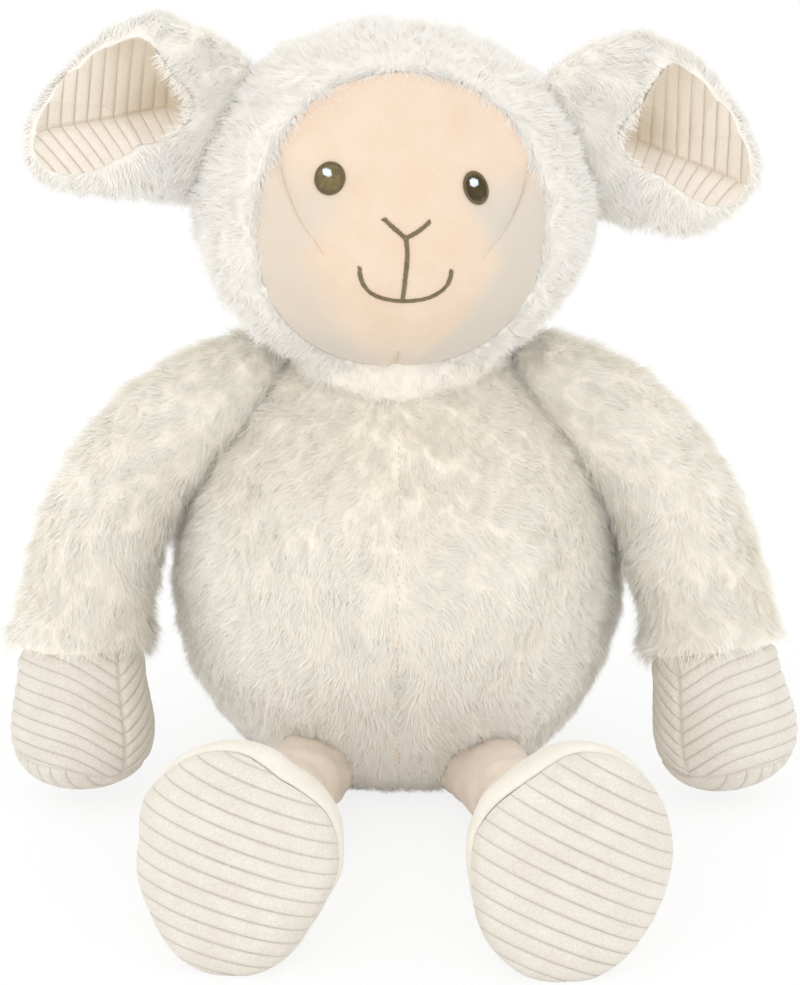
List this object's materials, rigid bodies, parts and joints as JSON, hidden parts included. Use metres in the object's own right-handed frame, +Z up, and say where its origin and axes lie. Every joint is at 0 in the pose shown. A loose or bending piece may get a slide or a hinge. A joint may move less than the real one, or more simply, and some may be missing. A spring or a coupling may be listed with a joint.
{
  "type": "plush sheep toy",
  "caption": "Seated plush sheep in cream pile cloth with a smooth velour face, corduroy-lined ears, corduroy mitts and corduroy soles.",
  "frame": {"origin": "middle of the flat seat under the body, on the surface that the sheep sits on", "axes": "+X to the sheep's left, -Y the way that it looks, +Z up"},
  "size_m": [0.2932, 0.253, 0.2891],
  "materials": {
    "pile": "soft combed cream pile about 8 to 12 mm long",
    "face_velour": "short pale peach velour",
    "leg_velour": "short pinkish cream velour",
    "corduroy": "wide-wale cream corduroy",
    "thread": "satin embroidery thread, dark olive brown",
    "stuffing": "loose polyester fibre",
    "bead_cloth": "thin woven pouch filled with plastic beads"
  },
  "bodies": {
    "torso": {"body_front_left_panel": "pile", "body_front_right_panel": "pile", "body_back_left_panel": "pile", "body_back_right_panel": "pile", "body_base_panel": "pile", "bead_pouch": "bead_cloth", "body_stuffing": "stuffing"},
    "neck": {"neck_band": "pile", "neck_stuffing": "stuffing"},
    "head": {"hood_left_panel": "pile", "hood_right_panel": "pile", "face_panel": "face_velour", "head_stuffing": "stuffing", "left_eye": "thread", "right_eye": "thread", "nose_and_mouth_stitching": "thread"},
    "left_ear": {"left_ear": "pile", "left_ear_lining": "corduroy"},
    "right_ear": {"right_ear": "pile", "right_ear_lining": "corduroy"},
    "left_arm": {"left_sleeve": "pile", "left_mitt_outer_panel": "corduroy", "left_mitt_inner_panel": "corduroy", "left_mitt_gusset": "corduroy", "left_arm_stuffing": "stuffing"},
    "right_arm": {"right_sleeve": "pile", "right_mitt_outer_panel": "corduroy", "right_mitt_inner_panel": "corduroy", "right_mitt_gusset": "corduroy", "right_arm_stuffing": "stuffing"},
    "left_leg": {"left_leg": "leg_velour", "left_leg_stuffing": "stuffing"},
    "right_leg": {"right_leg": "leg_velour", "right_leg_stuffing": "stuffing"},
    "left_foot": {"left_foot_upper": "leg_velour", "left_sole": "corduroy", "left_foot_stuffing": "stuffing"},
    "right_foot": {"right_foot_upper": "leg_velour", "right_sole": "corduroy", "right_foot_stuffing": "stuffing"}
  },
  "joints": [
    {"name": "neck_turn", "type": "hinge", "parent": "torso", "child": "neck", "pos_m": [0, -0.002, 0.163], "axis": [0, 0, 1], "range_deg": [-40, 40], "stiffness_Nm_per_rad": 0.3},
    {"name": "neck_nod", "type": "hinge", "parent": "neck", "child": "head", "pos_m": [0, -0.002, 0.163], "axis": [1, 0, 0], "range_deg": [-12, 12], "stiffness_Nm_per_rad": 1},
    {"name": "left_ear_flap", "type": "hinge", "parent": "head", "child": "left_ear", "pos_m": [0.05512, -0.0025, 0.24526], "axis": [-0.4747, -0.0325, 0.8795], "range_deg": [-25, 20], "stiffness_Nm_per_rad": 0.06},
    {"name": "right_ear_flap", "type": "hinge", "parent": "head", "child": "right_ear", "pos_m": [-0.05603, -0.0095, 0.25069], "axis": [0.5583, 0.0325, 0.829], "range_deg": [-20, 25], "stiffness_Nm_per_rad": 0.06},
    {"name": "left_shoulder_swing", "type": "hinge", "parent": "torso", "child": "left_arm", "pos_m": [0.05, -0.003, 0.153], "axis": [-1, 0, 0], "range_deg": [-35, 90], "stiffness_Nm_per_rad": 0.3},
    {"name": "right_shoulder_swing", "type": "hinge", "parent": "torso", "child": "right_arm", "pos_m": [-0.05, -0.003, 0.153], "axis": [-1, 0, 0], "range_deg": [-35, 90], "stiffness_Nm_per_rad": 0.3},
    {"name": "left_hip_lift", "type": "hinge", "parent": "torso", "child": "left_leg", "pos_m": [0.02739, -0.04389, 0.0147], "axis": [-1, 0, 0], "range_deg": [0, 40], "stiffness_Nm_per_rad": 0.2},
    {"name": "right_hip_lift", "type": "hinge", "parent": "torso", "child": "right_leg", "pos_m": [-0.02739, -0.04389, 0.0147], "axis": [-1, 0, 0], "range_deg": [0, 40], "stiffness_Nm_per_rad": 0.2},
    {"name": "left_ankle_flex", "type": "hinge", "parent": "left_leg", "child": "left_foot", "pos_m": [0.05599, -0.13739, 0.03065], "axis": [-1, 0, 0], "range_deg": [-20, 20], "stiffness_Nm_per_rad": 0.15},
    {"name": "right_ankle_flex", "type": "hinge", "parent": "right_leg", "child": "right_foot", "pos_m": [-0.05269, -0.13489, 0.03065], "axis": [-1, 0, 0], "range_deg": [-20, 20], "stiffness_Nm_per_rad": 0.15}
  ]
}
